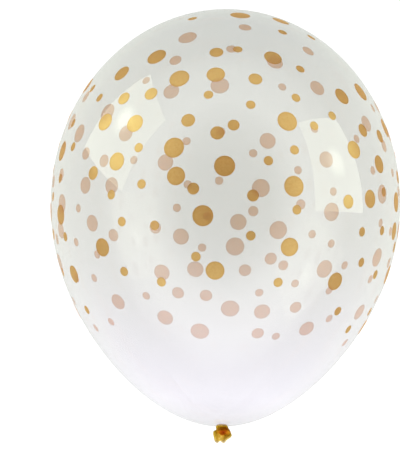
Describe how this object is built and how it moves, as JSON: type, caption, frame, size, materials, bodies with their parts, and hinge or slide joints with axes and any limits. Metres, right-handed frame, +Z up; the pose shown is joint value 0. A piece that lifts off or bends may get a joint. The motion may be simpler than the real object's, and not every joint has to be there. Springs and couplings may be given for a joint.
{
  "type": "confetti balloon",
  "caption": "Inflated round party balloon of clear latex with a scatter of gold printed dots, its neck tied in a knot, lying on its side.",
  "frame": {"origin": "centre of the flat spot that the balloon rests on, below its widest section", "axes": "+Y along the balloon's axis towards the crown, so the knot is at -Y; +Z up; +X across"},
  "size_m": [0.3, 0.3743, 0.2987],
  "materials": {
    "clear_latex": "glossy, clear and slightly milky",
    "tied_latex": "satin, amber where the rubber isn't stretched",
    "gold_ink": "satin metallic ink"
  },
  "bodies": {
    "root": {"balloon": "clear_latex"}
  },
  "joints": []
}
